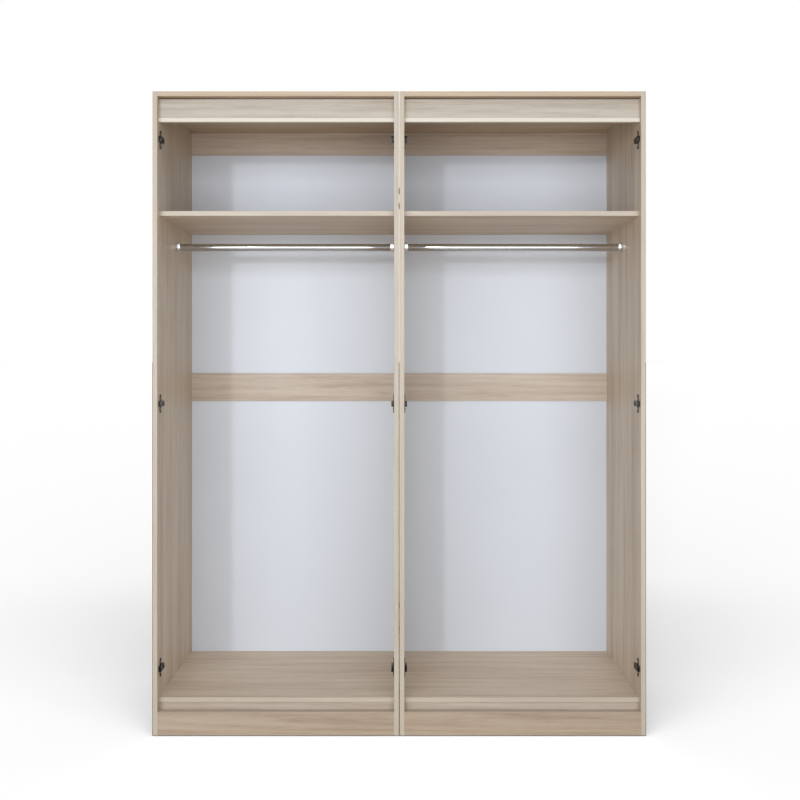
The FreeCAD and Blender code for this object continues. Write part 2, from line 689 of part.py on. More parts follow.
def bay_pieces(bay):
    """Every node of one bay except its fasteners."""
    pieces = [side_panel(bay, side) for side in ("left", "right")]
    pieces += [pinned_board(bay, board) for board in ("bottom_panel", "shelf")]
    pieces += [cross_board(bay, board) for board in ("top_panel", "base_rail", "plinth")]
    pieces += [fascia(bay), top_back_rail(bay), mid_back_rail(bay)]
    pieces += back_panels(bay)
    pieces.append(hanging_rail(bay))
    for side in ("left", "right"):
        pieces.append(rail_socket(bay, side))
        pieces += [hinge_plate(bay, side, level) for level in HINGE_LEVELS]
    return pieces


def check(pieces):
    """Stop if anything in the document failed, or a piece has no sound shape."""
    for item in document.Objects:
        if "Invalid" in item.State or "Error" in item.State:
            raise RuntimeError(f"{item.Label}: {item.State}")
    for piece in pieces:
        if piece.Shape.isNull() or not piece.Shape.isValid():
            raise RuntimeError(f"{piece.Label}: unsound shape")


patterns = fastener_patterns()
nodes = []
for bay in BAYS:
    nodes += bay_pieces(bay)
    nodes += bay_fasteners(bay, patterns)
nodes += joining_bolts(patterns)
document.recompute()
check(nodes)

os.makedirs("parts", exist_ok=True)
for node in nodes:
    node.Shape.exportStep(f"parts/{node.Label}.step")
print(len(nodes), "nodes written")
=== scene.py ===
# %% [markdown]
# # A double wardrobe carcase with its doors off
#
# Two tall oak-finish carcases stand side by side. Each has a shelf, a chromed hanging
# rail in two open sockets, white back sheets with an oak rail over their joint, and three
# hinge plates on each side that wait for the doors. The boards come ready-made from the
# frame model, so this lesson gives them their finishes, and models the metal fittings,
# the stage and the light.

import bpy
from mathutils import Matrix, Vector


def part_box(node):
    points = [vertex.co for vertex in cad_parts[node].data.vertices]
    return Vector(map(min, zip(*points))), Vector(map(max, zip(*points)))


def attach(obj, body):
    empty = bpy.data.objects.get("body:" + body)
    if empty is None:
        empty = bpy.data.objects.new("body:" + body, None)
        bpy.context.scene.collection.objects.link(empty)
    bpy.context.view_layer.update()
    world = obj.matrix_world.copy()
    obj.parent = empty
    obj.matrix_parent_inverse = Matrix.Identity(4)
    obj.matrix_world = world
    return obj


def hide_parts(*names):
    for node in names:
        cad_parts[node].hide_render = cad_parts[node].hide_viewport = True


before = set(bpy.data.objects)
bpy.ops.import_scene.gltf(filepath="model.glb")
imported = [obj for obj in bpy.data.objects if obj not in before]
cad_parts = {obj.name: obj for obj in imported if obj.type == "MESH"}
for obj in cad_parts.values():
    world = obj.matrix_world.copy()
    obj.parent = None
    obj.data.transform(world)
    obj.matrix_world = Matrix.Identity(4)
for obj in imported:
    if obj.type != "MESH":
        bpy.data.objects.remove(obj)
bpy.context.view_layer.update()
print("the frame has", len(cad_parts), "pieces")

# %% [markdown]
# ## Sizes read from the frame
#
# Every place comes from the frame's own pieces. A tube or a plate that was typed in by
# hand could drift away from the board that carries it, and a measured box can't.

# %% Measure the carcase
from math import cos, pi, radians, sin

import bmesh
import bpy
from mathutils import Matrix, Vector

MILLIMETRE = 0.001
BAYS = ("left", "right")
SIDES = ("left", "right")
LEVELS = ("low", "middle", "high")

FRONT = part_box("left_side_left")[0].y
print(f"front edges of the sides at y = {FRONT:.3f} m")

# %% [markdown]
# ## A camera straight in front
#
# A wardrobe is usually shown square-on, with its uprights kept parallel. A level camera
# does that, and a small vertical shift then centres the tall piece without tilting it.

# %% Camera
EYE_DISTANCE = 3.05
EYE_HEIGHT = 1.171
VIEW_WIDTH = 2.467
HORIZON_SHIFT = -0.054
SIDE_SHIFT = 0.001
SENSOR_WIDTH = 36

camera_data = bpy.data.cameras.new("camera")
camera_data.sensor_width = SENSOR_WIDTH
camera_data.lens = camera_data.sensor_width * EYE_DISTANCE / VIEW_WIDTH
camera_data.shift_x = SIDE_SHIFT
camera_data.shift_y = HORIZON_SHIFT
camera = bpy.data.objects.new("camera", camera_data)
camera.location = (0, FRONT - EYE_DISTANCE, EYE_HEIGHT)
camera.rotation_euler = (radians(90), 0, 0)
bpy.context.scene.collection.objects.link(camera)
bpy.context.scene.camera = camera
print(f"camera lens {camera_data.lens:.1f} mm")

# %% [markdown]
# ## Studio light
#
# A studio for furniture has a large soft light straight in front, a second one high
# and near, which fades towards the floor, and one harder light from the left that draws
# the sides' shadows on the back sheets. The world fills the rest. It is shown pure white
# behind the wardrobe but lights it more gently, as a white paper roll behind the set does.

# %% Lights
SKY_STRENGTH = 0.28
KEY_STRENGTH = 0.36
KEY_FROM_LEFT = radians(16)
KEY_DROP = radians(3.7)
KEY_SOFTNESS = radians(3)
KEY_AWAY = 4
KEY_TARGET = Vector((0, 0, 1))
FRONT_WATTS = 108
FRONT_SIZE = (5.0, 2.2)
FRONT_PLACE = (-0.3, FRONT - 3.3, 1.5)
FRONT_TARGET = (-0.3, 0, 1.5)
TOP_WATTS = 30
TOP_SIZE = (3.0, 0.8)
TOP_PLACE = (0, FRONT - 1.2, 4.5)
TOP_TARGET = (0, 0, 0.8)
DAYLIGHT = (0.89, 0.94, 1.0)

scene = bpy.context.scene
scene.view_settings.view_transform = "Standard"
world = bpy.data.worlds.new("studio")
world.use_nodes = True
scene.world = world
sky = world.node_tree
backdrop = sky.nodes["Background"]
backdrop.inputs["Color"].default_value = (1, 1, 1, 1)
seen = sky.nodes.new("ShaderNodeLightPath")
level = sky.nodes.new("ShaderNodeMapRange")
level.inputs["To Min"].default_value = SKY_STRENGTH
level.inputs["To Max"].default_value = 1.0
sky.links.new(seen.outputs["Is Camera Ray"], level.inputs["Value"])
sky.links.new(level.outputs["Result"], backdrop.inputs["Strength"])


def add_light(name, kind, place, towards, **settings):
    """A light at a place, turned towards a point."""
    data = bpy.data.lights.new(name, kind)
    for setting, value in settings.items():
        setattr(data, setting, value)
    light = bpy.data.objects.new(name, data)
    light.location = place
    aim = Vector(towards) - Vector(place)
    light.rotation_euler = aim.to_track_quat("-Z", "Y").to_euler()
    scene.collection.objects.link(light)


key_way = Vector((sin(KEY_FROM_LEFT) * cos(KEY_DROP), cos(KEY_FROM_LEFT) * cos(KEY_DROP),
                  -sin(KEY_DROP)))
add_light("key", "SUN", KEY_TARGET - KEY_AWAY * key_way, KEY_TARGET, energy=KEY_STRENGTH,
          angle=KEY_SOFTNESS, color=DAYLIGHT)
add_light("front_softbox", "AREA", FRONT_PLACE, FRONT_TARGET, energy=FRONT_WATTS,
          shape="RECTANGLE", size=FRONT_SIZE[0], size_y=FRONT_SIZE[1], color=DAYLIGHT)
add_light("top_softbox", "AREA", TOP_PLACE, TOP_TARGET, energy=TOP_WATTS,
          shape="RECTANGLE", size=TOP_SIZE[0], size_y=TOP_SIZE[1], color=DAYLIGHT)

# %% [markdown]
# ## Shader maths that reads like sums
#
# A wood finish is layers of noise added, scaled and masked. Wired by hand that is dozens
# of Math nodes, so a small class wraps a socket and turns `+`, `-` and `*` into
# those nodes. One method adds every other kind of node.

# %% Sums on sockets
class Value:
    """An output socket of a finish that can be used in sums."""

    def __init__(self, finish, socket):
        self.finish = finish
        self.socket = socket

    def math(self, operation, *terms):
        """A Math node that works on this socket and other terms."""
        sockets = dict(enumerate((self,) + terms))
        return self.finish.add("ShaderNodeMath", {"operation": operation}, sockets)

    def __add__(self, other):
        return self.math("ADD", other)

    def __radd__(self, other):
        return self.math("ADD", other)

    def __sub__(self, other):
        return self.math("SUBTRACT", other)

    def __rsub__(self, other):
        return (self * -1).math("ADD", other)

    def __mul__(self, other):
        return self.math("MULTIPLY", other)

    def ramp(self, low, high):
        """0 below low and 1 above high, straight between them."""
        sockets = {"Value": self, "From Min": low, "From Max": high}
        return self.finish.add("ShaderNodeMapRange", {"clamp": True}, sockets)


# %% A finish under construction
def find_socket(sockets, key):
    """A socket by its number, or the one in use that has this name."""
    if isinstance(key, int):
        return sockets[key]
    return next(item for item in sockets if item.name == key and item.enabled)


class Finish:
    """A material whose nodes are added one by one."""

    def __init__(self, name):
        self.material = bpy.data.materials.new(name)
        self.material.use_nodes = True
        self.tree = self.material.node_tree
        self.tree.nodes.clear()

    def add(self, kind, settings=None, sockets=None, output=0):
        """Add a node: its settings first, then the values or links of its sockets."""
        node = self.tree.nodes.new(kind)
        for name, setting in (settings or {}).items():
            if name == "stops":
                fill_ramp(node.color_ramp, setting)
            else:
                setattr(node, name, setting)
        for key, value in (sockets or {}).items():
            socket = find_socket(node.inputs, key)
            if isinstance(value, Value):
                self.tree.links.new(value.socket, socket)
            else:
                socket.default_value = value
        if node.outputs:
            return Value(self, find_socket(node.outputs, output))


def fill_ramp(color_ramp, stops):
    """Give a colour ramp its (position, colour) stops."""
    while len(color_ramp.elements) < len(stops):
        color_ramp.elements.new(1)
    for element, (position, color) in zip(color_ramp.elements, stops):
        element.position = position
        element.color = color


# %% [markdown]
# ## Helpers that every finish shares
#
# Noise that is squeezed along one axis becomes grain, and the surface's own direction
# tells a board's face from its edge. Everything is laid out in Object coordinates, so a
# pattern has its real size and stays on its board.

# %% Shared parts of the finishes
def paint(red, green, blue):
    """A colour given as 0 to 255 on a screen, made linear."""
    return tuple((part / 255) ** 2.2 for part in (red, green, blue)) + (1,)


def object_place(finish):
    return finish.add("ShaderNodeTexCoord", output="Object")


def squeezed(finish, place, stretch):
    """A place with each axis scaled, so that a pattern is drawn out along one of them."""
    return finish.add("ShaderNodeMapping", {"vector_type": "POINT"},
                      {"Vector": place, "Scale": stretch})


def noise(finish, place, scale, detail, roughness, distortion=0.0):
    return finish.add("ShaderNodeTexNoise", {},
                      {"Vector": place, "Scale": scale, "Detail": detail,
                       "Roughness": roughness, "Distortion": distortion})


def axes_of(finish, vector):
    """The x, y and z of a vector, as three values."""
    parts = finish.add("ShaderNodeSeparateXYZ", {}, {"Vector": vector})
    node = parts.socket.node
    return [Value(finish, socket) for socket in node.outputs]


def facing(finish):
    """The x, y and z of the direction that the surface faces."""
    return axes_of(finish, finish.add("ShaderNodeTexCoord", output="Normal"))


def turned_to(ways, directions, low, high):
    """1 on the faces that look along one of the directions, such as "-y", and 0 elsewhere."""
    return sum((ways["xyz".index(axis)] * (1 if sign == "+" else -1)).ramp(low, high)
               for sign, axis in directions)


def blend_colors(finish, amount, first, second, how="MIX"):
    settings = {"data_type": "RGBA", "blend_type": how, "clamp_factor": True}
    return finish.add("ShaderNodeMix", settings,
                      {"Factor": amount, "A": first, "B": second}, output="Result")


def bumps(finish, height, strength, distance):
    return finish.add("ShaderNodeBump", {},
                      {"Height": height, "Strength": strength, "Distance": distance})


def shade(finish, sockets):
    """Close a finish with the standard surface shader."""
    surface = finish.add("ShaderNodeBsdfPrincipled", {}, sockets)
    finish.add("ShaderNodeOutputMaterial", {}, {"Surface": surface})
    return finish.material


# %% [markdown]
# ## Limed-oak board
#
# The boards are chipboard with a printed oak foil. The print has long soft bands, dark
# dashes of pores, a wavy figure and faint marks of the saw that run across the grain. The
# front edges carry a plainer plastic band behind a hair-thin glue line, and the edges that
# nobody sees are left raw, so the chips show. An image could give the print, but layered
# noise needs no file and keeps its true scale on every board, so it is used here.

# %% Oak foil, edge band and raw chipboard
GRAIN_STRETCH = 0.05
BAND_THICKNESS = 1.0 * MILLIMETRE
LIP_HEIGHT = 12 * MILLIMETRE
GLUE_BROWN = paint(120, 96, 74)
OAK_DARK = paint(150, 128, 108)
OAK_BROWN = paint(188, 170, 150)
OAK_MIDDLE = paint(208, 193, 175)
OAK_PALE = paint(224, 212, 196)
LIP_CREAM = paint(232, 221, 205)


def oak_print(finish, place, along):
    """How dark or pale the printed oak is, from 0 to 1, and its pores."""
    stretch = [1, 1, 1]
    stretch["XYZ".index(along)] = GRAIN_STRETCH
    fibres = squeezed(finish, place, stretch)
    bands = noise(finish, fibres, 16, 2, 0.5, 0.4)
    streaks = noise(finish, fibres, 75, 3, 0.6, 0.3)
    threads = noise(finish, fibres, 420, 2, 0.6)
    parts = axes_of(finish, fibres)
    across = parts[1] + parts[{"X": 2, "Z": 0}[along]]
    bend = noise(finish, fibres, 7, 1, 0.5)
    figure = (across * 260 + bend * 42).math("SINE") * 0.5 + 0.5
    pores = noise(finish, squeezed(finish, fibres, stretch), 620, 1, 0.5).ramp(0.62, 0.74)
    dashes = noise(finish, fibres, 150, 2, 0.55).ramp(0.60, 0.72)
    tone = (bands - 0.5) * 0.6 + (streaks - 0.5) * 0.75 + (threads - 0.5) * 0.4
    tone = tone + figure * bands * 0.22 + 0.56
    return tone - dashes * 0.22 - pores * 0.14, pores


def saw_marks(finish, place, along):
    """Faint stripes across the grain, strong in some places and gone in others."""
    parts = axes_of(finish, place)
    lengthwise = parts["XYZ".index(along)]
    wobble = noise(finish, place, 9, 1, 0.5)
    stripes = (lengthwise * 820 + wobble * 55).math("SINE").ramp(0.55, 1.0)
    return stripes * noise(finish, place, 5, 2, 0.5).ramp(0.48, 0.7)


def chipboard(finish, place):
    """The colour of the raw core: pale and dark chips pressed together."""
    chips = finish.add("ShaderNodeTexVoronoi", {"feature": "F1"},
                       {"Vector": place, "Scale": 420.0, "Randomness": 1.0}, output="Color")
    fine = noise(finish, place, 900, 2, 0.6)
    chip_tone = axes_of(finish, chips)[0] * 0.7 + fine * 0.4
    stops = [(0.0, paint(112, 86, 60)), (0.4, paint(168, 138, 102)),
             (0.75, paint(196, 168, 130)), (1.0, paint(222, 200, 164))]
    return finish.add("ShaderNodeValToRGB", {"stops": stops}, {"Fac": chip_tone},
                      output="Color")


def oak_board(name, along, banded, raw, tone_and_light_tint, band_color, front=None, lip=None):
    """Oak foil with its grain along one axis, its banded edges and its raw edges."""
    finish = Finish(name)
    place = object_place(finish)
    tone, pores = oak_print(finish, place, along)
    marks = saw_marks(finish, place, along)
    stops = [(0.0, OAK_DARK), (0.34, OAK_BROWN), (0.62, OAK_MIDDLE), (1.0, OAK_PALE)]
    foil = finish.add("ShaderNodeValToRGB", {"stops": stops}, {"Fac": tone + marks * 0.07},
                      output="Color")
    # The tint multiplies the foil. Besides the foil's tone, it carries painted light and shade
    # for each kind of board.
    foil = blend_colors(finish, 1.0, foil, paint(*tone_and_light_tint), "MULTIPLY")
    ways = facing(finish)
    band = turned_to(ways, banded, 0.45, 0.75)
    foil = blend_colors(finish, band * 0.55, foil, paint(*band_color))
    if lip is not None:
        height = axes_of(finish, place)[2]
        pale = height.ramp(lip + 0.2 * MILLIMETRE, lip - 0.2 * MILLIMETRE)
        foil = blend_colors(finish, pale * 0.7, foil, LIP_CREAM)
    if front is not None:
        depth = axes_of(finish, place)[1] - (front + BAND_THICKNESS)
        glue = depth.math("ABSOLUTE").ramp(0.25 * MILLIMETRE, 0.05 * MILLIMETRE) * (1 - band)
        foil = blend_colors(finish, glue * 0.5, foil, GLUE_BROWN)
    if raw:
        core = turned_to(ways, raw, 0.5, 0.6)
        foil = blend_colors(finish, core, foil, chipboard(finish, place))
    height = tone * 0.5 - pores * 0.8 + marks * 0.3
    relief = bumps(finish, height, 0.35, 0.12 * MILLIMETRE)
    rough = 0.46 + pores * 0.2 + (tone - 0.5) * -0.12
    return shade(finish, {"Base Color": foil, "Roughness": rough, "Normal": relief})


# %% [markdown]
# ## Which board gets which oak
# Uprights have upright grain. Shelves, top and bottom lie flat with a banded front, and
# the rails, the plinth and the front board under the top stand on edge with both long
# edges banded. The kinds differ a little in tint and band colour. These are set to how
# bright each board looks under the light, so they carry painted light and shade: the
# plinth is darker and browner, as painted fall-off of the light towards the floor, and
# the front board under the top is greyer, as painted cool light from above. Printed foil comes
# in batches, so the kinds differ a little in tone.

# %% Boards
STANDING = ("+z", "-z")
LIP_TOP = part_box("left_fascia")[0].z + LIP_HEIGHT
# Each kind's tint and band colour hold painted light and shade as well as the foil's tone: the
# plinth's darker, browner tint is painted fall-off of the light.
oak_kinds = {
    "upright": dict(along="Z", banded=("-y",), raw=("+y", "+z", "-z"), front=FRONT,
                    tone_and_light_tint=(250, 246, 240), band_color=(186, 176, 160)),
    "lying": dict(along="X", banded=("-y",), raw=("+y",),
                  tone_and_light_tint=(252, 246, 238), band_color=(186, 178, 166)),
    "top": dict(along="X", banded=("-y",), raw=("+y",),
                tone_and_light_tint=(248, 236, 222), band_color=(184, 164, 141)),
    "front_board": dict(along="X", banded=("-z",), raw=(), lip=LIP_TOP,
                        tone_and_light_tint=(228, 230, 232), band_color=(214, 204, 190)),
    "rail": dict(along="X", banded=STANDING, raw=(),
                 tone_and_light_tint=(240, 236, 234), band_color=(190, 176, 160)),
    "plinth": dict(along="X", banded=STANDING, raw=(),
                   tone_and_light_tint=(219, 209, 199), band_color=(196, 180, 162)),
}
oak_use = {
    "upright": ("side_left", "side_right"),
    "lying": ("bottom_panel", "shelf"),
    "top": ("top_panel",),
    "front_board": ("fascia",),
    "rail": ("top_back_rail", "mid_back_rail", "base_rail"),
    "plinth": ("plinth",),
}


def dress(node, material):
    """Give every material slot of a ready-made piece one material."""
    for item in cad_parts[node].material_slots:
        item.material = material


for kind, settings in oak_kinds.items():
    material = oak_board(f"oak_{kind}", **settings)
    for board in oak_use[kind]:
        for bay in BAYS:
            dress(f"{bay}_{board}", material)
    print(kind, "oak on", len(oak_use[kind]) * len(BAYS), "boards")

# %% [markdown]
# ## White back sheets
#
# The backs are thin hardboard, painted white on the inside. Paint on hardboard is never
# quite even: it has soft clouds and a fine orange-peel surface. The outside keeps the
# brown of the pressed fibres, with the print of the wire screen it was pressed on.

# %% Backs
def back_sheet():
    finish = Finish("white_back_sheet")
    place = object_place(finish)
    clouds = noise(finish, place, 6, 3, 0.55)
    peel = noise(finish, place, 520, 2, 0.5)
    tone = (clouds - 0.5) * 0.10 + (peel - 0.5) * 0.03 + 0.5
    stops = [(0.35, paint(211, 215, 223)), (0.65, paint(223, 227, 234))]
    white = finish.add("ShaderNodeValToRGB", {"stops": stops}, {"Fac": tone}, output="Color")
    fibres = noise(finish, place, 260, 4, 0.65)
    blotches = noise(finish, place, 11, 2, 0.5)
    stops = [(0.3, paint(120, 86, 56)), (0.7, paint(156, 118, 80))]
    brown = finish.add("ShaderNodeValToRGB", {"stops": stops},
                       {"Fac": fibres * 0.6 + blotches * 0.4}, output="Color")
    across, _, up = axes_of(finish, place)
    screen = (across * 2600).math("SINE") * (up * 2600).math("SINE")
    outside = facing(finish)[1].ramp(-0.6, -0.4)
    color = blend_colors(finish, outside, white, brown)
    height = peel * (1 - outside) * 0.3 + screen * outside * 0.5
    relief = bumps(finish, height, 0.3, 0.1 * MILLIMETRE)
    rough = 0.38 + outside * 0.35 + (peel - 0.5) * 0.12
    return shade(finish, {"Base Color": color, "Roughness": rough, "Normal": relief})


back_material = back_sheet()
for bay in BAYS:
    for sheet in ("back_panel_lower", "back_panel_upper"):
        dress(f"{bay}_{sheet}", back_material)
print("back sheets painted")

# %% [markdown]
# ## Metals
#
# Chrome, nickel and zinc differ in colour and in how sharp their reflections are. Real
# plating is never perfectly flat either, so each has a slow waviness, which makes
# reflections wander, and fine scratches that vary the roughness. The hinge plates' nickel
# is painted nearly black, as painted shade and painted dark reflection of the interior.

# %% Metal finishes
def plated(name, color, rough, wave, wave_scale, stain=0.1):
    """A plated metal: its colour, its roughness and how much its surface wanders."""
    finish = Finish(name)
    place = object_place(finish)
    slow = noise(finish, place, wave_scale, 1, 0.4)
    scratches = noise(finish, squeezed(finish, place, (0.12, 1, 1)), 2400, 2, 0.6)
    dull = noise(finish, place, 55, 3, 0.6)
    shade_of = (dull - 0.5) * stain + (scratches - 0.5) * 0.05 + 0.5
    dark = tuple(part * 0.8 for part in color[:3]) + (1,)
    stops = [(0.4, dark), (0.6, color)]
    tone = finish.add("ShaderNodeValToRGB", {"stops": stops}, {"Fac": shade_of},
                      output="Color")
    height = slow + scratches * 0.004
    relief = bumps(finish, height, 1.0, wave)
    gloss = rough + (dull - 0.5) * rough + (scratches - 0.5) * 0.06
    return shade(finish, {"Base Color": tone, "Roughness": gloss, "Metallic": 1.0,
                          "Normal": relief})


chrome_tube = plated("chrome_tube", paint(214, 216, 220), 0.15, 0.5 * MILLIMETRE, 16)
chrome_cast = plated("chrome_socket", paint(232, 233, 236), 0.14, 0.1 * MILLIMETRE, 90)
# The plates' near-black colour is painted shade and painted dark reflection, not the nickel's
# own colour.
hinge_steel = plated("nickel_hinge_plate_painted_dark", paint(58, 55, 52), 0.24, 0.03 * MILLIMETRE, 300,
                     0.3)
screw_steel = plated("zinc_screw", paint(206, 206, 204), 0.3, 0.02 * MILLIMETRE, 500, 0.4)
bolt_steel = plated("nickel_bolt", paint(196, 193, 188), 0.26, 0.02 * MILLIMETRE, 400, 0.3)
pin_steel = plated("bright_pin", paint(176, 176, 178), 0.36, 0.02 * MILLIMETRE, 600, 0.4)
print("six metal finishes")


# %% [markdown]
# ## Beech and plastic
#
# The dowels are beech with short dark flecks along the grain, which lies across the
# wardrobe. The glides and spacers are moulded plastic, satin and very finely grained.

# %% Small-part finishes
def beech():
    finish = Finish("beech_dowel")
    place = object_place(finish)
    grain = noise(finish, squeezed(finish, place, (0.1, 1, 1)), 900, 3, 0.6)
    flecks = noise(finish, squeezed(finish, place, (0.25, 1, 1)), 1600, 1, 0.5).ramp(0.6, 0.7)
    stops = [(0.3, paint(196, 160, 120)), (0.7, paint(226, 196, 158))]
    color = finish.add("ShaderNodeValToRGB", {"stops": stops}, {"Fac": grain - flecks * 0.25},
                       output="Color")
    relief = bumps(finish, grain - flecks * 0.5, 0.4, 0.1 * MILLIMETRE)
    return shade(finish, {"Base Color": color, "Roughness": 0.55 + flecks * 0.2,
                          "Normal": relief})


def plastic(name, light, dark):
    finish = Finish(name)
    place = object_place(finish)
    skin = noise(finish, place, 3200, 2, 0.6)
    marks = noise(finish, place, 120, 3, 0.6)
    color = finish.add("ShaderNodeValToRGB", {"stops": [(0.35, dark), (0.65, light)]},
                       {"Fac": marks * 0.7 + skin * 0.3}, output="Color")
    relief = bumps(finish, skin, 0.25, 0.05 * MILLIMETRE)
    return shade(finish, {"Base Color": color, "Roughness": 0.42 + (marks - 0.5) * 0.2,
                          "Normal": relief})


small_parts = {
    "joining_bolts": bolt_steel,
    "joining_sleeves": bolt_steel,
    "joining_spacers": plastic("spacer_plastic", paint(236, 234, 228), paint(222, 219, 211)),
}
beech_material = beech()
glide_plastic = plastic("glide_plastic", paint(74, 60, 50), paint(58, 47, 40))
for bay in BAYS:
    small_parts[f"{bay}_dowels"] = beech_material
    small_parts[f"{bay}_floor_glides"] = glide_plastic
    small_parts[f"{bay}_back_panel_pins"] = pin_steel
for node, material in small_parts.items():
    dress(node, material)
print("small parts finished:", len(small_parts))


# %% [markdown]
# ## Modelling by hand, in code
#
# The fittings are shaped as a modeller would shape them by hand: a primitive, then edit
# mode, then modifiers. A click on a face becomes a test on its middle and its direction.
# The small ones are drawn with one unit to the millimetre and shrunk when they are done,
# because booleans and merges are surer on numbers near one.

# %% Selecting and finishing
def start_clean():
    """Leave no piece selected, so that an operator touches only the new one."""
    if bpy.context.object and bpy.context.object.mode != "OBJECT":
        bpy.ops.object.mode_set(mode="OBJECT")
    bpy.ops.object.select_all(action="DESELECT")


def select_faces(piece, test):
    """In edit mode, select the faces whose middle and normal pass a test."""
    bpy.ops.mesh.select_mode(type="FACE")
    bpy.ops.mesh.select_all(action="DESELECT")
    shape = bmesh.from_edit_mesh(piece.data)
    for face in shape.faces:
        face.select = test(face.calc_center_median(), face.normal)
    shape.select_flush_mode()
    bmesh.update_edit_mesh(piece.data)


def select_edges(piece, test):
    """In edit mode, select the edges whose two ends pass a test."""
    bpy.ops.mesh.select_mode(type="EDGE")
    bpy.ops.mesh.select_all(action="DESELECT")
    shape = bmesh.from_edit_mesh(piece.data)
    for edge in shape.edges:
        edge.select = test(edge.verts[0].co, edge.verts[1].co)
    shape.select_flush_mode()
    bmesh.update_edit_mesh(piece.data)


def use_modifier(piece, kind, **settings):
    """Add a modifier and apply it at once."""
    bpy.context.view_layer.objects.active = piece
    modifier = piece.modifiers.new(kind.lower(), kind)
    for name, setting in settings.items():
        setattr(modifier, name, setting)
    bpy.ops.object.modifier_apply(modifier=modifier.name)


def settle(piece):
    """Put the piece's turn and place into its mesh."""
    bpy.ops.object.select_all(action="DESELECT")
    piece.select_set(True)
    bpy.context.view_layer.objects.active = piece
    bpy.ops.object.transform_apply(location=True, rotation=True, scale=True)


def shrink(piece):
    """Turn a fitting that was drawn in millimetres into metres."""
    piece.scale = (MILLIMETRE,) * 3
    settle(piece)


def smooth(piece, angle=35):
    settle(piece)
    bpy.ops.object.shade_smooth_by_angle(angle=radians(angle))


def block(size, middle):
    """A box of a given size, in place, ready to be shaped."""
    start_clean()
    bpy.ops.mesh.primitive_cube_add(size=1, location=middle, scale=size)
    piece = bpy.context.object
    settle(piece)
    return piece


def carve(piece, tool, operation="DIFFERENCE"):
    """Cut one closed shape out of another, or add it, and remove the tool."""
    use_modifier(piece, "BOOLEAN", object=tool, operation=operation, solver="EXACT")
    bpy.data.objects.remove(tool)


def rod(radius, start, end):
    """A closed round bar between two points."""
    start_clean()
    way = Vector(end) - Vector(start)
    bpy.ops.mesh.primitive_cylinder_add(
        vertices=32, radius=radius, depth=way.length,
        location=(Vector(start) + Vector(end)) / 2,
        rotation=way.to_track_quat("Z", "Y").to_euler())
    piece = bpy.context.object
    settle(piece)
    return piece


def copies_at(pattern, places, name):
    """One piece made of copies of a pattern, each with its own turn and place."""
    made = []
    for place in places:
        twin = pattern.copy()
        twin.data = pattern.data.copy()
        twin.matrix_world = place
        scene.collection.objects.link(twin)
        made.append(twin)
    bpy.context.view_layer.update()
    bpy.ops.object.select_all(action="DESELECT")
    for twin in made:
        twin.select_set(True)
    bpy.context.view_layer.objects.active = made[0]
    if len(made) > 1:
        bpy.ops.object.join()
    made[0].name = name
    settle(made[0])
    return made[0]


def finish_piece(piece, material, body, slot, *nodes):
    """Give a piece its material and its body, and hide the nodes it stands for; slot is not
    used.
    """
    piece.data.materials.clear()
    piece.data.materials.append(material)
    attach(piece, body)
    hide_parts(*nodes)


# %% [markdown]
# ## Hanging rails
#
# Each rail is a chromed steel tube. An open cylinder gets its wall from Solidify, and a
# small bevel breaks the sawn ends, so their rims catch the light. The rail lies loose in
# its sockets and can be lifted out, so it rides on its own body.

# %% Tubes
TUBE_WALL = 1.2 * MILLIMETRE
TUBE_EDGE = 0.3 * MILLIMETRE


def hanging_tube(bay):
    node = f"{bay}_hanging_rail"
    low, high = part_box(node)
    start_clean()
    bpy.ops.mesh.primitive_cylinder_add(
        vertices=72, radius=(high.z - low.z) / 2, depth=high.x - low.x,
        end_fill_type="NOTHING", location=(low + high) / 2, rotation=(0, radians(90), 0))
    tube = bpy.context.object
    tube.name = f"{bay}_hanging_tube"
    settle(tube)
    use_modifier(tube, "SOLIDIFY", thickness=TUBE_WALL, offset=-1)
    use_modifier(tube, "BEVEL", width=TUBE_EDGE, segments=2, limit_method="ANGLE",
                 angle_limit=radians(60))
    smooth(tube)
    finish_piece(tube, chrome_tube, f"{bay}_rail", "chrome_tube", node)
    return tube


tubes = [hanging_tube(bay) for bay in BAYS]
print("tubes:", [len(tube.data.polygons) for tube in tubes], "faces")

# %% [markdown]
# ## Rail sockets
#
# A socket is a cast cup with an open mouth at the top, screwed to the side by its floor.
# Half a circle with two straight arms gives its outline. The floor is extruded from it,
# and an inset ring is extruded into the wall. The outline starts taller than needed, and
# one bisect then cuts the mouth open and closes the cut.

# %% Socket pattern
SOCKET_FLOOR = 4
SOCKET_WALL = 3
SOCKET_ARM = 15
SOCKET_EDGE = 0.5
SOCKET_SCREW_PITCH = 14
SCREW_HEAD = 7
HEAD_HEIGHT = 2
HEAD_PLAY = 0.6

low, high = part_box("left_rail_socket_left")
SOCKET_REACH = (high.x - low.x) / MILLIMETRE
SOCKET_RADIUS = (high.y - low.y) / 2 / MILLIMETRE


def half_circle(radius):
    """The lower half of a circle in the plane X = 0, as an open line."""
    start_clean()
    bpy.ops.mesh.primitive_circle_add(vertices=64, radius=radius, rotation=(0, radians(90), 0))
    piece = bpy.context.object
    settle(piece)
    bpy.ops.object.mode_set(mode="EDIT")
    bpy.ops.mesh.select_all(action="SELECT")
    bpy.ops.mesh.bisect(plane_co=(0, 0, 0), plane_no=(0, 0, 1), clear_outer=True)
    return piece


